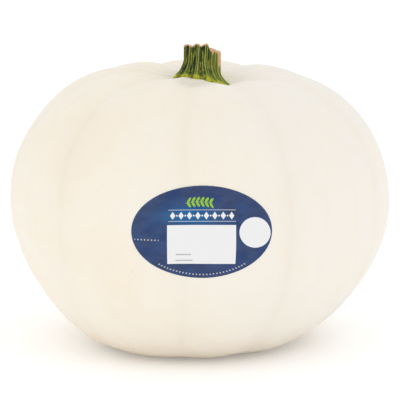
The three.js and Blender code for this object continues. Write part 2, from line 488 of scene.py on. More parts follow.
    def sizes(self) -> dict[str, float]:
        """The sizes that the node group takes as named inputs."""
        return {
            "Widest radius": self.widest_radius,
            "Height above": self.height_above,
            "Depth below": self.depth_below,
            "Rib depth": self.rib_depth,
            "Dent height": self.dent_height,
        }


def skin_point(
    tree: Tree, skin: bpy.types.NodeTree, direction: Field, raised: Number, ribbed: Number
) -> tuple[Field, Field, Field]:
    """The skin's node group in another tree.

    Args:
        tree: the tree that it goes in, which has the skin's sizes as inputs.
        skin: the skin's node group.
        direction: the direction of each point.
        raised: how far above the skin the point lies.
        ribbed: below 1 makes the valleys shallower.

    Returns:
        The point in millimetres, how deep in a valley it is, and how near to a valley's crease.
    """
    sizes = {name: tree.given(name) for name in Skin().sizes()}
    return tree.use(skin, {"Direction": direction, "Raised": raised, "Ribbed": ribbed} | sizes)


def attribute(tree: Tree, mesh: Field, name: str, value: Field, vector: bool = False) -> Field:
    """Stores a value on each point of a mesh under a name, for the finish to read."""
    kind = "FLOAT_VECTOR" if vector else "FLOAT"
    inputs = {"Geometry": mesh, "Name": name, "Value": value}
    return tree.node("GeometryNodeStoreNamedAttribute", inputs, data_type=kind, domain="POINT")


def piece_tree(name: str, counts: Iterable[str], sizes: Iterable[str] = ()) -> Tree:
    """A tree that makes a piece, with its counts, its sizes and its finish as named inputs."""
    inputs = dict.fromkeys(counts, SocketKind.COUNT) | numbers(*sizes) | {"Finish": SocketKind.FINISH}
    return Tree.group(TreeKind.GEOMETRY, name, inputs, {"Mesh": SocketKind.MESH})


def post(tree: Tree, columns: Number, levels: Number, rings: int) -> Field:
    """A post of radius and height 1 about the origin, for a tree to bend into a piece."""
    counts = {"Vertices": columns, "Side Segments": levels, "Fill Segments": rings}
    sizes = {"Radius": 1.0, "Depth": 1.0}
    return tree.node("GeometryNodeMeshCylinder", counts | sizes, fill_type="TRIANGLE_FAN")


def move_points(tree: Tree, mesh: Field, position: Field) -> Field:
    """A mesh with each of its points moved to a position in millimetres."""
    scaled = tree.node("ShaderNodeVectorMath", {0: position, "Scale": METRES}, operation="SCALE")
    return tree.node("GeometryNodeSetPosition", {"Geometry": mesh, "Position": scaled})


def finish_mesh(tree: Tree, mesh: Field, position: Field) -> None:
    """Moves each point of a mesh, in millimetres, and ends the tree with its finish."""
    moved = move_points(tree, mesh, position)
    end_with(tree, tree.node("GeometryNodeSetShadeSmooth", {"Geometry": moved}))


def end_with(tree: Tree, mesh: Field) -> None:
    """Ends a tree in Realize Instances and Set Material."""
    real = tree.node("GeometryNodeRealizeInstances", {"Geometry": mesh})
    dressed = tree.node("GeometryNodeSetMaterial", {"Geometry": real, "Material": tree.given("Finish")})
    tree.give("Mesh", dressed)


def add_object(name: str, data: bpy.types.ID) -> bpy.types.Object:
    """A new object in the scene."""
    made = bpy.data.objects.new(name, data)
    bpy.context.scene.collection.objects.link(made)
    return made


def grow(name: str, tree: bpy.types.NodeTree, values: dict[str, object]) -> bpy.types.Object:
    """Runs a geometry tree and keeps what it makes as a plain mesh.

    Args:
        name: the piece's name.
        tree: the geometry tree.
        values: a value for each of the tree's named inputs.

    Returns:
        The piece, with no modifier.
    """
    seed = add_object(name + "_seed", bpy.data.meshes.new(name + "_seed"))
    modifier = seed.modifiers.new("Grow", "NODES")
    modifier.node_group = tree
    for item in tree.interface.items_tree:
        if item.in_out == "INPUT" and item.name in values:
            modifier[item.identifier] = values[item.name]
    depsgraph = bpy.context.evaluated_depsgraph_get()
    mesh = bpy.data.meshes.new_from_object(
        seed.evaluated_get(depsgraph), preserve_all_data_layers=True, depsgraph=depsgraph
    )
    mesh.name = name
    bpy.data.objects.remove(seed)
    return add_object(name, mesh)


def corners(mesh: bpy.types.Mesh) -> tuple[np.ndarray, np.ndarray]:
    """The lowest and highest corner of a mesh."""
    places = np.empty(len(mesh.vertices) * 3)
    mesh.vertices.foreach_get("co", places)
    places = places.reshape(-1, 3)
    return places.min(axis=0), places.max(axis=0)


def report(piece: bpy.types.Object) -> None:
    """Writes a line about a finished piece to the log."""
    piece.data.calc_loop_triangles()
    low, high = corners(piece.data)
    size = ", ".join(f"{side / METRES:.1f}" for side in high - low)
    LOG.info("%s: %d triangles, %s mm", piece.name, len(piece.data.loop_triangles), size)


class Finish:
    """A material that is being put together. Places are in millimetres about the fruit's middle."""

    def __init__(self, name: str, origin: Vector) -> None:
        """Starts a material.

        Args:
            name: its name.
            origin: the fruit's middle in the frame, in metres.
        """
        self.material = bpy.data.materials.new(name)
        self.material.use_nodes = True
        self.tree = Tree(self.material.node_tree)
        self.shader = self.tree.nodes.nodes["Principled BSDF"]
        where = self.tree.node("ShaderNodeTexCoord", output="Object")
        scale = 1.0 / METRES
        self.place = self.tree.node(
            "ShaderNodeMapping",
            {"Vector": where, "Location": tuple(-origin * scale), "Scale": (scale, scale, scale)},
        )

    def stored(self, name: str, output: str = "Fac") -> Field:
        """What the mesh keeps under a name, which is a number unless output is Vector."""
        return self.tree.node("ShaderNodeAttribute", output=output, attribute_name=name)

    def set(self, **values: Union[Field, float, tuple]) -> None:
        """Sets sockets of the shader, whose names are given with _ for a space."""
        for name, value in values.items():
            feed(value, self.shader.inputs[name.replace("_", " ")])

    def mottle(self, size: float, stretch: tuple[float, float, float] = (1.0, 1.0, 1.0)) -> Field:
        """The shared mottling at this material's own scale."""
        return self.tree.use(mottle_group(), {"Place": self.place, "Size": size, "Stretch": stretch})[0]

    def specks(self, spacing: float, radius: float, share: float) -> Field:
        """The shared specks at this material's own spacing."""
        inputs = {"Place": self.place, "Spacing": spacing, "Radius": radius, "Share": share}
        return self.tree.use(speck_group(), inputs)[0]

    def bump(self, height: Field, depth: float) -> None:
        """Small relief, with its depth in millimetres."""
        inputs = {"Height": height, "Strength": 1.0, "Distance": depth * METRES}
        self.set(Normal=self.tree.node("ShaderNodeBump", inputs))


def shared_group(name: str) -> bpy.types.NodeTree | None:
    """A node group that was already built, or None."""
    return bpy.data.node_groups.get(name)


def mottle_group() -> bpy.types.NodeTree:
    """Cloudy patches, from 0 to 1, that several finishes share."""
    name = "Mottle"
    if shared_group(name):
        return shared_group(name)
    tree = Tree.group(
        TreeKind.SHADER,
        name,
        {"Place": SocketKind.VECTOR, "Size": SocketKind.NUMBER, "Stretch": SocketKind.VECTOR},
        numbers("Mask"),
    )
    sides = {0: tree.given("Place"), 1: tree.given("Stretch")}
    stretched = tree.node("ShaderNodeVectorMath", sides, operation="DIVIDE")
    inputs = {"Vector": stretched, "Scale": 1.0 / tree.given("Size"), "Detail": 4.0, "Roughness": 0.55}
    cloud = tree.node("ShaderNodeTexNoise", inputs)
    tree.give("Mask", cloud.step(0.32, 0.68))
    return tree.nodes


def speck_group() -> bpy.types.NodeTree:
    """Small round specks, 1 in their middle and 0 outside, on some cells only."""
    name = "Specks"
    if shared_group(name):
        return shared_group(name)
    tree = Tree.group(
        TreeKind.SHADER,
        name,
        {"Place": SocketKind.VECTOR} | numbers("Spacing", "Radius", "Share"),
        numbers("Mask"),
    )
    inputs = {"Vector": tree.given("Place"), "Scale": 1.0 / tree.given("Spacing")}
    cells = tree.node("ShaderNodeTexVoronoi", inputs, output="Distance")
    pick = Field(tree.nodes, cells.socket.node.outputs["Color"])
    chance, _, _ = tree.parts(pick)
    radius = tree.given("Radius") / tree.given("Spacing")
    dot = (1.0 - cells / radius).math("MULTIPLY", 3.0).clamped()
    tree.give("Mask", dot * chance.math("LESS_THAN", tree.given("Share")))
    return tree.nodes


@dataclass(frozen=True)
class RindFinish:
    """Smooth waxy cream rind, a little warmer on its left, with faint streaks along its ribs, painted shade
    in its valleys and along their creases, and painted shade towards its underside.
    """

    cool: tuple = rgb(237, 232, 223)
    warm: tuple = rgb(241, 234, 220)
    peach: tuple = rgb(239, 227, 207)
    streak: tuple = rgb(233, 222, 202)
    # painted shade, laid into the rib valleys and along their creases
    valley: tuple = rgb(218, 206, 184)
    # painted shade, darker and browner towards the underside
    foot: tuple = rgb(226, 208, 182)
    cork: tuple = rgb(176, 146, 104)
    green: tuple = rgb(214, 215, 176)
    warm_edge: float = 60.0
    patch_size: float = 46.0
    blotch_size: float = 11.0
    streak_size: float = 7.0
    streak_around: float = 100.0
    streak_along: float = 12.0
    pores: tuple = (2.6, 0.5, 0.45)
    scars: tuple = (19.0, 0.8, 0.07)
    crown_reach: tuple = (34.0, 12.0)
    scar_reach: tuple = (11.0, 6.0)
    peel_size: float = 1.6
    grain_size: float = 0.5
    relief_depth: float = 0.09
    roughness: tuple = (0.4, 0.58)

    def make(self, origin: Vector, skin: Skin) -> bpy.types.Material:
        """The rind's material.

        Args:
            origin: the fruit's middle in the frame.
            skin: the rule that the skin follows.

        Returns:
            The material.
        """
        finish = Finish("rind", origin)
        tree = finish.tree
        x, y, z = tree.parts(finish.place)
        radius = hypot(x, y)
        ball = tree.node("ShaderNodeVectorMath", {0: finish.place}, operation="NORMALIZE")
        side_x, side_y, up = tree.parts(ball)
        meridian = tree.vector(
            side_x * self.streak_around, side_y * self.streak_around, up * self.streak_along
        )

        patches = finish.mottle(self.patch_size)
        blotches = finish.mottle(self.blotch_size)
        left = x.step(self.warm_edge, -self.warm_edge)
        streaks = tree.noise(meridian, self.streak_size, 4.0, 0.6).step(0.5, 0.78)
        faint = up.step(0.5, 0.85) * 0.75
        # painted shade along each valley's crease, stronger in patches and on the left, fainter near the top
        crease = finish.stored("crease") * (patches * 0.7 + left * 0.2 + 0.1) * (1.0 - faint)
        pores = finish.specks(*self.pores)
        scars = finish.specks(*self.scars)
        # how near the underside a point is, for the painted shade there
        low = z.step(-skin.rest_depth * 0.7, -skin.rest_depth)
        crown = hypot(x - skin.hollow_x, y - skin.hollow_y).step(*self.crown_reach) * z.above(0.0)
        scar = radius.step(*self.scar_reach) * (1.0 - z.above(0.0))
        colour = tree.layers(
            tree.colour(self.cool, self.warm, (left * 0.8 + patches * 0.2).clamped()),
            (self.peach, patches * (left * 0.5 + 0.1)),
            (self.streak, streaks * 0.2),
            (self.streak, blotches * 0.07),
            # painted shade in the rib valleys, then along their creases
            (self.valley, finish.stored("valley") ** 2.0 * 0.06),
            (self.valley, crease * 0.2),
            (self.streak, pores * 0.2),
            (self.cork, scars * 0.12),
            # painted shade towards the underside
            (self.foot, low * (blotches * 0.3 + 0.25)),
            (self.green, crown * 0.15),
            (self.cork, scar * (blotches * 0.4 + 0.55)),
        )

        peel = tree.noise(finish.place, self.peel_size, 3.0, 0.6)
        relief = peel * 0.6 - pores * 0.5 - scars * 0.8 - crease
        relief = relief + tree.noise(finish.place, self.grain_size) * (scar + 0.15)
        finish.bump(relief, self.relief_depth)
        finish.set(
            Base_Color=colour,
            Roughness=mix(*self.roughness, (blotches * 0.4 + scar * 0.6).clamped()),
            Specular_IOR_Level=0.5,
            Subsurface_Weight=0.06,
            Subsurface_Scale=0.004,
        )
        return finish.material


@dataclass
class Fruit:
    """The fruit, one ribbed body with a hollow round its stem and a corky scar underneath."""

    skin: Skin = field(default_factory=Skin)
    segments: int = 400
    rings: int = 220
    origin: Vector = field(default_factory=Vector)

    def make(self) -> bpy.types.Object:
        """Builds the fruit where its solid is and finds its middle.

        Returns:
            The dressed piece.
        """
        counts = {"Segments": self.segments, "Rings": self.rings}
        tree = piece_tree("Grow fruit", counts, self.skin.sizes())
        ball = tree.node(
            "GeometryNodeMeshUVSphere",
            {"Segments": tree.given("Segments"), "Rings": tree.given("Rings"), "Radius": 1.0},
        )
        direction = tree.node("GeometryNodeInputPosition")
        position, valley, crease = skin_point(tree, skin_group(self.skin), direction, 0.0, 1.0)
        mesh = attribute(tree, ball, "valley", valley)
        mesh = attribute(tree, mesh, "crease", crease)
        finish_mesh(tree, mesh, position)
        piece = grow("rind", tree.nodes, counts | self.skin.sizes())

        low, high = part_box("fruit")
        own_low, own_high = corners(piece.data)
        middle = (low + high) / 2.0
        own_middle = (own_low + own_high) / 2.0
        self.origin = Vector(
            (middle.x - own_middle[0], middle.y - own_middle[1], low.z + self.skin.rest_depth * METRES)
        )
        piece.data.transform(Matrix.Translation(self.origin))
        wear(piece, RindFinish().make(self.origin, self.skin))
        return piece


def skin_group(skin: Skin) -> bpy.types.NodeTree:
    """The skin's node group, built once."""
    return shared_group("Pumpkin skin") or skin.group()


def wear(piece: bpy.types.Object, finish: bpy.types.Material) -> None:
    """Gives a piece one finish all over."""
    piece.data.materials.clear()
    piece.data.materials.append(finish)


@dataclass(frozen=True)
class StemFinish:
    """Fibrous green stump: pale ridges with painted highlights, dark flutes that are partly painted shade,
    rusty seams, yellow-green toes, a tan cut and a paler right side.
    """

    leaf: tuple = rgb(52, 74, 4)
    olive: tuple = rgb(94, 102, 0)
    # dark blue-green of the flutes, partly the stem's own colour and partly painted shade
    panel: tuple = rgb(24, 40, 34)
    # pale ridge lines, partly the fibres' own colour and partly painted highlight
    ridge: tuple = rgb(174, 186, 84)
    # painted highlight, flecked along the ridge lines and over the toes
    pale: tuple = rgb(214, 216, 150)
    toe: tuple = rgb(194, 190, 14)
    moss: tuple = rgb(96, 120, 8)
    rust: tuple = rgb(128, 78, 26)
    cut: tuple = rgb(234, 196, 160)
    pith: tuple = rgb(208, 154, 110)
    streak_size: float = 1.5
    streak_stretch: tuple = (1.0, 1.0, 7.0)
    fibre_size: float = 0.5
    fibre_stretch: tuple = (1.0, 1.0, 6.0)
    cloud_size: float = 4.5
    cloud_stretch: tuple = (1.0, 1.0, 2.5)
    grain_size: float = 0.8
    # how far right of the fruit's middle the stem turns paler, with fewer dark flutes
    paler_right_reach: tuple = (6.0, 12.0)
    core_reach: tuple = (5.5, 2.5)
    moss_reach: tuple = (5.0, 2.0)
    toe_reach: tuple = (3.1, 1.5)
    relief_depth: float = 0.2
    roughness: tuple = (0.42, 0.75)

    def make(self, origin: Vector, axis_x: float) -> bpy.types.Material:
        """The stem's material.

        Args:
            origin: the fruit's middle in the frame.
            axis_x: how far right of it the stem's axis is, in millimetres.

        Returns:
            The material.
        """
        finish = Finish("green_stem", origin)
        tree = finish.tree
        names = ("crest", "fine", "height", "cut", "wound")
        crest, fine, height, cut, wound = (finish.stored(name) for name in names)

        streak = finish.mottle(self.streak_size, self.streak_stretch)
        fibre = finish.mottle(self.fibre_size, self.fibre_stretch)
        cloud = finish.mottle(self.cloud_size, self.cloud_stretch)
        grain = finish.mottle(self.grain_size)
        x, y, _ = tree.parts(finish.place)
        # paler towards the stem's right side
        paler_right = x.step(*self.paler_right_reach)
        core = hypot(x - axis_x, y).step(*self.core_reach)
        # dark flutes, partly the stem's own colour and partly painted shade, fewer towards the paler right
        flute = crest.step(0.74, 0.3) * cloud.step(0.12, 0.5) * (1.0 - paler_right * 0.6)
        # the fine ridge lines, which carry the pale colour and the painted highlight
        line = fine.step(0.0, 0.9) * (1.0 - flute)
        seam = crest.step(0.3, 0.5) * crest.step(0.8, 0.6) * cloud.step(0.62, 0.3)
        low = height.step(*self.moss_reach) * (1.0 - flute * 0.8)
        knob = grain * 0.6 + cloud * 0.4
        band = (height + cloud * 1.5).step(*self.toe_reach) * (1.0 - flute * 0.6)
        bare = (cut * (cloud * 0.4 + 0.75) + wound * (fibre * 0.3 + 0.75)).clamped()
        flesh = tree.colour(self.cut, self.pith, (fibre * 0.4 + grain * 0.3 + core * 0.35).clamped())
        colour = tree.layers(
            tree.colour(self.leaf, self.olive, streak),
            # dark flutes: partly the stem's own colour, partly painted shade
            (self.panel, flute * (fibre * 0.2 + 0.75)),
            (self.rust, seam * (fibre * 0.3 + 0.5)),
            # ridge lines, partly their own colour and partly painted highlight, and paler towards the right
            (self.ridge, (line * (fibre * 0.5 + 0.45) + paler_right * 0.2).clamped()),
            # painted highlight flecked along the ridge lines
            (self.pale, line.step(0.5, 1.0) * grain.step(0.4, 0.9) * 0.7),
            (self.moss, low * 0.6),
            (self.toe, band * (knob * 0.5 + 0.5)),
            # painted highlight flecked over the toes
            (self.pale, band * grain.step(0.6, 1.0) * 0.5),
            (flesh, bare),
        )

        relief = fibre * 0.5 + streak * 0.4 + grain * (bare + band) * 0.5
        finish.bump(relief, self.relief_depth)
        finish.set(Base_Color=colour, Roughness=mix(*self.roughness, bare), Specular_IOR_Level=0.2)
        return finish.material


@dataclass
class Stem:
    """The stem's stump, with ridges that spread into toes at its foot. Heights are above the foot."""

    axis_x: float = 3.2
    axis_y: float = 0.0
    foot_level: float = 77.9
    foot_drop: float = 0.15
    foot_saddle: float = 1.4
    foot_radius: float = 19.2
    foot_height: float = 11.0
    foot_flare: float = 2.0
    foot_shift: float = 1.7
    buried: float = 7.0
    radius: float = 11.3
    top_level: float = 98.0
    top_tilt: float = 0.22
    cup: float = 1.6
    lobes: int = 11
    lobe_turn: float = 2.05
    lobe_height: float = 1.3
    lobe_above: float = 0.4
    lobe_bluntness: float = 3.6
    step_x: float = 7.5
    step_drop: float = 1.1
    step_width: float = 1.2
    step_slope: float = 0.4
    step_tilt: float = 0.08
    twist: float = 9.0
    ridges: int = 17
    ridge_sharpness: float = 1.4
    drift_start: float = 0.087
    drift_angle: float = 0.117
    drift_count: float = 3.0
    drift_turn: float = 2.88
    flute_side: float = 1.1
    flute_toe: float = 2.2
    main_count: int = 5
    main_height: float = 0.55
    main_turn: float = 1.0
    fine_count: float = 51.0
    fine_drift: float = 2.0
    fine_height: float = 0.2
    toe_count: float = 7.0
    toe_length: float = 1.2
    roughness: float = 0.05
    lump_size: float = 3.0
    knobs: float = 0.06
    knob_size: float = 1.7
    rim_height: float = 0.8
    rim_size: float = 5.5
    cut_reach: tuple = (0.95, 0.98)
    wound_turn: float = 0.2
    wound_half: float = 0.38
    wound_edge: float = 0.06
    wound_slant: float = 0.3
    wound_reach: tuple = (0.5, 0.62)
    notch_turn: float = 1.0
    notch_half: float = 0.2
    notch_edge: float = 0.04
    notch_depth: float = 0.17
    columns: int = 340
    levels: int = 110
    rings: int = 22
    fibres: int = 90
    fibre_seed: int = 7
    fibre_sides: int = 5
    fibre_tip: float = 0.04
    fibre_root: float = 0.14
    fibre_length: float = 1.1
    fibre_rise: float = 0.995
    fibre_shares: tuple = (0.72, 0.97)
    fibre_scales: tuple = (0.4, 1.0)
    fibre_lean: float = 0.5
    fibre_turn: float = 6.28

    def crest(self, turn: Field) -> Field:
        """A ridge's height at a turn, 0 in a flute and 1 on the crest."""
        drift = (turn * self.drift_count + self.drift_turn).sin() * self.drift_angle
        drifted = turn + self.drift_start + drift
        return 1.0 - (drifted * (self.ridges / 2.0)).sin().abs() ** self.ridge_sharpness

    def foot_at(self, turn: Field) -> Field:
        """The level of the foot at a turn."""
        tilt = turn.cos() * (self.foot_drop * self.foot_radius)
        return self.foot_level - tilt - (turn * 2.0).cos() * self.foot_saddle

    def fine_rib(self, turn: Field) -> Field:
        """The fine ribs on and between the ridges at a turn, from -1 to 1."""
        return (turn * self.fine_count + (turn * self.drift_count).sin() * self.fine_drift).cos()

    def spread(self, height: Field) -> Field:
        """How much of its spread the foot has at a height."""
        return (1.0 - height / self.foot_height).clamped()

    def radius_at(self, turn: Field, height: Field) -> Field:
        """The stem's radius at a turn and a height."""
        spread = self.spread(height)
        toes = (turn * self.toe_count).cos() * spread**3.0 * self.toe_length
        foot = spread**self.foot_flare * (self.foot_radius - self.radius)
        main = (turn * float(self.main_count) + self.main_turn).cos() * self.main_height
        depth = mix(self.flute_side, self.flute_toe, spread)
        fine = self.fine_rib(turn) * self.fine_height
        return foot + main + toes + fine - depth * (1.0 - self.crest(turn)) + self.radius

    def cut_at(self, x: Field, y: Field, turn: Field, share: Field) -> Field:
        """The level of the cut end at a point beside the axis."""
        beyond = x - (self.step_x - self.axis_x)
        slope = -beyond / (self.step_width / 4.0)
        drop = (beyond * self.step_slope + self.step_drop - y * self.step_tilt) / (slope.exp() + 1.0)
        cup = (1.0 - share**2.0) * self.cup
        dip = ((turn + self.lobe_turn) * (self.lobes / 2.0)).sin().abs() ** self.lobe_bluntness
        lobe = (self.lobe_above - dip) * share**6.0 * self.lobe_height
        return lobe - y * self.top_tilt - drop - cup + self.top_level

    def group(self) -> bpy.types.NodeTree:
        """The stem's rule as a node group, from a turn, a rise and a share of the radius to a point."""
        tree = Tree.group(
            TreeKind.GEOMETRY,
            "Stem surface",
            numbers("Turn", "Rise", "Share"),
            {"Position": SocketKind.VECTOR} | numbers("Height"),
        )
        turn = tree.given("Turn")
        rise = tree.given("Rise")
        share = tree.given("Share")
        bottom = self.foot_at(turn) - self.buried
        level = bottom + (self.top_level - bottom) * rise
        height = level - self.foot_at(turn)
        radius = self.radius_at(turn, height) * share
        twisted = turn + rise * math.radians(self.twist)
        x = radius * twisted.cos() + self.spread(height) ** 2.0 * self.foot_shift
        y = radius * twisted.sin()
        top = self.cut_at(x, y, turn, share)
        z = bottom + (top - bottom) * rise
        place = tree.vector(x, y, z)
        lumps = tree.noise(place, self.lump_size, 3.0) - 0.5
        knobs = (tree.noise(place, self.knob_size, 1.0) - 0.5) * self.spread(height) ** 2.0
        outwards = lumps * self.roughness + knobs * self.knobs + 1.0
        bumps = (tree.noise(place, self.rim_size, 1.0) - 0.5) * rise.step(0.8, 1.0) * self.rim_height
        z = z + bumps
        tree.give("Position", tree.vector(x * outwards + self.axis_x, y * outwards + self.axis_y, z))
        tree.give("Height", height)
        return tree.nodes

    def surface(self, tree: Tree, turn: Field, rise: Number, share: Number) -> tuple[Field, Field]:
        """The stem's node group in another tree.

        Args:
            tree: the tree that it goes in.
            turn: the turn about the axis in radians.
            rise: 0 at the foot and 1 at the cut.
            share: 0 on the axis and 1 at the side.

        Returns:
            The point, and its height above the foot.
        """
        group = shared_group("Stem surface") or self.group()
        return tree.use(group, {"Turn": turn, "Rise": rise, "Share": share})

    def stump(self) -> bpy.types.NodeTree:
        """The tree that makes the stump."""
        tree = piece_tree("Grow stem", ("Columns", "Levels"))
        mesh = post(tree, tree.given("Columns"), tree.given("Levels"), self.rings)
        px, py, pz = tree.parts(tree.node("GeometryNodeInputPosition"))
        turn = py.math("ARCTAN2", px)
        share = hypot(px, py)
        rise = pz + 0.5
        position, height = self.surface(tree, turn, rise, share)
        side = share.step(0.9, 1.0)
        strip = (turn + self.wound_turn).abs().within(self.wound_half, self.wound_edge)
        strip = strip * (rise + turn * self.wound_slant).step(*self.wound_reach)
        notch = (turn + self.notch_turn).abs() - (rise - 1.0) * self.notch_half / self.notch_depth
        notch = notch.within(self.notch_half, self.notch_edge)
        kept = {
            "crest": self.crest(turn) * side,
            "fine": self.fine_rib(turn) * side,
            "height": height,
            "cut": rise.step(*self.cut_reach),
            "wound": strip.math("MAXIMUM", notch),
        }
        for name, value in kept.items():
            mesh = attribute(tree, mesh, name, value)
        finish_mesh(tree, mesh, position)
        return tree.nodes

    @staticmethod
    def drawn(tree: Tree, ends: tuple[float, float]) -> Field:
        """A number drawn between two ends for each fibre, from the tree's seed."""
        inputs = {"Min": ends[0], "Max": ends[1], "Seed": tree.given("Seed")}
        return tree.node("FunctionNodeRandomValue", inputs, output=1)

    def torn_fibres(self) -> bpy.types.NodeTree:
        """The tree that makes the short fibres which stand up from the rim of the cut."""
        tree = piece_tree("Grow fibres", ("Fibres", "Seed"))
        points = tree.node("GeometryNodeMeshCircle", {"Vertices": tree.given("Fibres"), "Radius": 1.0})
        px, py, _ = tree.parts(tree.node("GeometryNodeInputPosition"))
        share = self.drawn(tree, self.fibre_shares)
        position, _ = self.surface(tree, py.math("ARCTAN2", px), self.fibre_rise, share)
        placed = move_points(tree, points, position)
        fibre = tree.node(
            "GeometryNodeMeshCone",
            {
                "Vertices": self.fibre_sides,
                "Radius Top": self.fibre_tip * METRES,
                "Radius Bottom": self.fibre_root * METRES,
                "Depth": self.fibre_length * METRES,
            },
        )
        most = self.fibre_lean
        turns = {"Min": (-most, -most, 0.0), "Max": (most, most, self.fibre_turn), "Seed": tree.given("Seed")}
        lean = tree.node("FunctionNodeRandomValue", turns, data_type="FLOAT_VECTOR")
        size = self.drawn(tree, self.fibre_scales)
        standing = tree.node(
            "GeometryNodeInstanceOnPoints",
            {"Points": placed, "Instance": fibre, "Rotation": lean, "Scale": size},
        )
        end_with(tree, standing)
        return tree.nodes

    def make(self, origin: Vector) -> list[bpy.types.Object]:
        """Builds the stump and its torn fibres.

        Args:
            origin: the fruit's middle in the frame.

        Returns:
            The dressed pieces.
        """
        finish = StemFinish().make(origin, self.axis_x)
        stump = grow("stump", self.stump(), {"Columns": self.columns, "Levels": self.levels})
        fibres = grow("cut_fibres", self.torn_fibres(), {"Fibres": self.fibres, "Seed": self.fibre_seed})
        for piece in (stump, fibres):
            piece.data.transform(Matrix.Translation(origin))
            wear(piece, finish)
        return [stump, fibres]


@dataclass(frozen=True)
class PaperFinish:
    """Coated paper printed deep blue, with a white panel, a white disc and a small ornament."""

    blue: tuple = rgb(34, 60, 108)
    slate: tuple = rgb(52, 64, 98)
    haze: tuple = rgb(74, 100, 146)
    glow: tuple = rgb(0, 106, 166)
    white: tuple = rgb(231, 231, 232)
    leaf: tuple = rgb(146, 194, 44)
    grey: tuple = rgb(128, 126, 130)
    edge: tuple = rgb(226, 226, 222)
    blur: float = 0.16
    sag: float = 0.00107
    panel: tuple = (-0.35, -7.0, 20.65, 12.0)
    disc: tuple = (32.15, 0.55, 9.8, 9.25)
    glow_place: tuple = (-8.0, 10.3, 15.5, 6.0)
    ruled_lines: tuple = ((-11.3, -13.1, 4.6, 0.42), (-10.8, -16.8, 5.2, 0.42))
    row_level: float = 10.6
    row_half: float = 20.2
    row_pitch: float = 5.05
    diamond: tuple = (1.6, 2.3)
    bead: float = 0.5
    rule_level: float = 3.4
    rule_half: float = 0.16
    twig_x: float = -1.9
    twig_level: float = 18.8
    twig_arch: float = 0.012
    leaf_pitch: float = 2.7
    leaf_pairs: int = 6
    leaf_half: tuple = (0.85, 1.45)
    leaf_lean: float = 0.55
    arc: tuple = (39.8, 26.1)
    arc_half: float = 27.0
    dot_pitch: float = 2.1
    dot: float = 0.46
    dot_row: tuple = (-33.5, -4.8, 7.4)
    cloud_size: float = 9.0
    haze_size: float = 5.0
    haze_stretch: tuple = (2.0, 1.0, 1.0)
    speck_size: float = 0.9
    glow_size: float = 4.0
    grain_size: float = 0.35
    relief_depth: float = 0.015
    roughness: tuple = (0.36, 0.5)

    def inside(self, depth: Field) -> Field:
        """1 where a distance into a shape is over 0, with a soft edge."""
        return (depth / self.blur + 0.5).clamped()

    def box(self, x: Field, z: Field, box: tuple[float, float, float, float]) -> Field:
        """The mask of a box given by its middle and its half sides."""
        across = box[2] - (x - box[0]).abs()
        return self.inside(across.math("MINIMUM", box[3] - (z - box[1]).abs()))

    def oval(self, x: Field, z: Field, oval: tuple[float, float, float, float]) -> Field:
        """The mask of an oval given by its middle and its half sides."""
        share = hypot((x - oval[0]) / oval[2], (z - oval[1]) / oval[3])
        return self.inside((1.0 - share) * oval[3])

    def cell(self, along: Field, pitch: float) -> Field:
        """How far a place is from the middle of its cell in a row that starts at 0."""
        return ((along / pitch).math("FRACT") - 0.5) * pitch

    def diamonds(self, x: Field, z: Field) -> Field:
        """A row of diamonds with beads between, under and over a thin rule."""
        level = z - self.row_level
        wide, tall = self.diamond
        shape = 1.0 - self.cell(x, self.row_pitch).abs() / wide - level.abs() / tall
        beads = self.bead - hypot(self.cell(x + self.row_pitch / 2.0, self.row_pitch), level)
        row = self.inside(shape.math("MAXIMUM", beads)) * (self.row_half - self.bead - x.abs()).above(0.0)
        rules = self.inside(self.rule_half - (level.abs() - self.rule_level).abs())
        return row.math("MAXIMUM", rules * 0.7 * self.inside(self.row_half - x.abs()))

    def sprig(self, x: Field, z: Field) -> Field:
        """A sprig of leaves in pairs along a short arched twig."""
        along = x - self.twig_x
        level = z - self.twig_level + along * along * self.twig_arch
        reach = self.leaf_pitch * self.leaf_pairs / 2.0
        wide, tall = self.leaf_half
        root = along - level.abs() * self.leaf_lean
        share = hypot(self.cell(root, self.leaf_pitch) / wide, (level.abs() - tall) / tall)
        leaf = self.inside((1.0 - share) * wide) * (reach - root.abs()).above(0.0)
        twig = self.inside(self.rule_half - level.abs()) * self.inside(reach - along.abs())
        return twig.math("MAXIMUM", leaf)

    def dots(self, x: Field, z: Field) -> Field:
        """Separate fine dots in an arc below the panel, and in a short row at the left."""
        wide, tall = self.arc
        turn = (x / wide).math("ARCTAN2", -z / tall)
        apart = (hypot(x / wide, z / tall) - 1.0) * tall
        bow = self.inside(self.dot - hypot(self.cell(turn * wide, self.dot_pitch), apart))
        bow = bow * (self.arc_half - x.abs()).above(0.0) * (1.0 - z.above(0.0))
        middle, level, half = self.dot_row
        row = self.inside(self.dot - hypot(self.cell(x - middle, self.dot_pitch), z - level))
        return bow.math("MAXIMUM", row * (half - (x - middle).abs()).above(0.0))

    def make(self, origin: Vector) -> bpy.types.Material:
        """The label's material, for the fruit's middle in the frame."""
        finish = Finish("label_paper", origin)
        tree = finish.tree
        x, level, _ = tree.parts(finish.stored("print", "Vector"))
        z = level + x * x * self.sag

        middle_x, middle_z, wide, tall = self.glow_place
        glow = (-(((x - middle_x) / wide) ** 2.0) - ((z - middle_z) / tall) ** 2.0).exp()
        paper = self.box(x, z, self.panel).math("MAXIMUM", self.oval(x, z, self.disc))
        colour = tree.layers(
            tree.colour(self.blue, self.slate, finish.mottle(self.cloud_size)),
            (self.haze, finish.mottle(self.haze_size, self.haze_stretch) * 0.3),
            (self.slate, finish.mottle(self.speck_size) * 0.3),
            (self.glow, glow * (finish.mottle(self.glow_size) * 0.3 + 0.62)),
            (self.white, self.diamonds(x, z)),
            (self.leaf, self.sprig(x, z)),
            (self.white, self.dots(x, level) * 0.6),
            (self.white, paper),
            *((self.grey, self.box(x, z, line) * 0.55) for line in self.ruled_lines),
            (self.edge, finish.stored("edge")),
        )

        finish.bump(tree.noise(finish.place, self.grain_size), self.relief_depth)
        finish.set(Base_Color=colour, Roughness=mix(*self.roughness, paper), Specular_IOR_Level=0.2)
        return finish.material


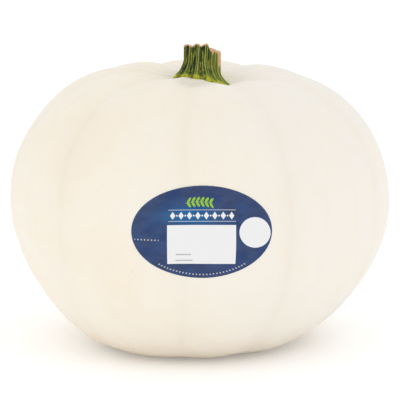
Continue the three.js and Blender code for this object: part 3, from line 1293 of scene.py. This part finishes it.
@dataclass
class Label:
    """The oval label, a thin sheet laid on the fruit."""

    azimuth: float = 1.65
    polar: float = 87.9
    width: float = 85.8
    height: float = 56.7
    thickness: float = 0.22
    ribbed: float = 0.85
    lifted_from: float = 0.93
    lift: float = 0.08
    face_from: float = 0.49
    columns: int = 192
    levels: int = 3
    rings: int = 60

    def make(self, origin: Vector, skin: Skin) -> bpy.types.Object:
        """Builds the label.

        Args:
            origin: the fruit's middle in the frame.
            skin: the rule that the skin follows.

        Returns:
            The dressed piece.
        """
        sizes = {"Width": self.width, "Height": self.height, "Thickness": self.thickness} | skin.sizes()
        tree = piece_tree("Lay label", (), sizes)
        sheet = post(tree, self.columns, self.levels, self.rings)
        px, py, pz = tree.parts(tree.node("GeometryNodeInputPosition"))
        sideways = px * tree.given("Width") * 0.5
        upwards = py * tree.given("Height") * 0.5
        azimuth = sideways / tree.given("Widest radius") + math.radians(self.azimuth)
        polar = math.radians(self.polar) - upwards / tree.given("Widest radius")
        direction = tree.vector(polar.sin() * azimuth.sin(), -(polar.sin() * azimuth.cos()), polar.cos())
        lift = hypot(px, py).step(self.lifted_from, 1.0) * self.lift
        raised = (pz + 0.5) * tree.given("Thickness") + lift
        position, _, _ = skin_point(tree, skin_group(skin), direction, raised, self.ribbed)
        mesh = attribute(tree, sheet, "print", tree.vector(sideways, upwards, 0.0), vector=True)
        mesh = attribute(tree, mesh, "edge", 1.0 - pz.abs().above(self.face_from))
        finish_mesh(tree, mesh, position)
        piece = grow("label_sheet", tree.nodes, sizes)
        piece.data.transform(Matrix.Translation(origin))
        wear(piece, PaperFinish().make(origin))
        return piece


@dataclass
class Studio:
    """A pale floor, a white room of soft light, and the photograph's camera."""

    elevation: float = 11.0
    distance: float = 1600.0
    lens: float = 231.8
    aside: float = 2.1
    lifted: float = 1.5
    floor_half: float = 6.0
    floor_glow: float = 0.12
    room_light: float = 1.0
    key_place: tuple = (0.9, -1.3, 1.4)
    key_size: float = 1.4
    key_power: float = 1.4
    fill_place: tuple = (-1.4, -1.2, 0.6)
    fill_size: float = 1.6
    fill_power: float = 0.9

    def camera(self, origin: Vector) -> None:
        """Puts the camera at the photograph's view of the fruit's middle."""
        tilt = math.radians(self.elevation)
        back = Vector((0.0, -math.cos(tilt), math.sin(tilt)))
        upward = Vector((0.0, math.sin(tilt), math.cos(tilt)))
        data = bpy.data.cameras.new("camera")
        data.lens = self.lens
        data.clip_start = 0.01
        made = add_object("camera", data)
        made.location = (
            origin
            + back * self.distance * METRES
            + upward * self.lifted * METRES
            + Vector((self.aside * METRES, 0.0, 0.0))
        )
        made.rotation_euler = (math.pi / 2.0 - tilt, 0.0, 0.0)
        bpy.context.scene.camera = made

    def floor(self) -> None:
        """Lays the floor, which glows softly, as a light table does."""
        half = self.floor_half
        ring = [(-half, -half, 0.0), (half, -half, 0.0), (half, half, 0.0), (-half, half, 0.0)]
        mesh = bpy.data.meshes.new("floor")
        mesh.from_pydata(ring, [], [(0, 1, 2, 3)])
        material = bpy.data.materials.new("floor")
        material.use_nodes = True
        looks = {
            "Base Color": (0.97, 0.97, 0.97, 1.0),
            "Roughness": 0.9,
            "Specular IOR Level": 0.0,
            "Emission Color": (1.0, 1.0, 1.0, 1.0),
            "Emission Strength": self.floor_glow,
        }
        for name, value in looks.items():
            feed(value, material.node_tree.nodes["Principled BSDF"].inputs[name])
        mesh.materials.append(material)
        add_object("floor", mesh)

    def room(self) -> None:
        """Lights the room evenly from all round."""
        world = bpy.data.worlds.new("room")
        world.use_nodes = True
        backdrop = world.node_tree.nodes["Background"]
        backdrop.inputs["Color"].default_value = (1.0, 1.0, 1.0, 1.0)
        backdrop.inputs["Strength"].default_value = self.room_light
        bpy.context.scene.world = world

    def lamp(self, name: str, place: Vector, aim: Vector, size: float, power: float) -> None:
        """Adds a large soft lamp.

        Args:
            name: its name.
            place: where it is, in metres.
            aim: the point that it faces.
            size: the side of its square in metres.
            power: its power in watts.
        """
        data = bpy.data.lights.new(name, "AREA")
        data.size = size
        data.energy = power
        made = add_object(name, data)
        made.location = place
        made.rotation_euler = (aim - place).to_track_quat("-Z", "Y").to_euler()

    def make(self, origin: Vector) -> None:
        """Sets the whole stage for a fruit with its middle at origin."""
        scene = bpy.context.scene
        scene.view_settings.view_transform = "Standard"
        scene.view_settings.look = "None"
        self.camera(origin)
        self.floor()
        self.room()
        self.lamp("key", origin + Vector(self.key_place), origin, self.key_size, self.key_power)
        self.lamp("fill", origin + Vector(self.fill_place), origin, self.fill_size, self.fill_power)


def main() -> None:
    """Builds the pumpkin on its solids, piece by piece, and sets the stage."""
    logging.basicConfig(level=logging.INFO, format="%(name)s: %(message)s")
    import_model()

    fruit = Fruit()
    rind = fruit.make()
    stem_pieces = Stem().make(fruit.origin)
    label = Label().make(fruit.origin, fruit.skin)
    pieces = [(rind, "fruit", "rind"), (label, "label", "label_paper")]
    pieces += [(piece, "stem", "green_stem") for piece in stem_pieces]
    for piece, node, slot in pieces:
        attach(piece, "root")
        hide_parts(node)
        report(piece)
    Studio().make(fruit.origin)

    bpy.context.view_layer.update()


if __name__ == "__main__":
    main()
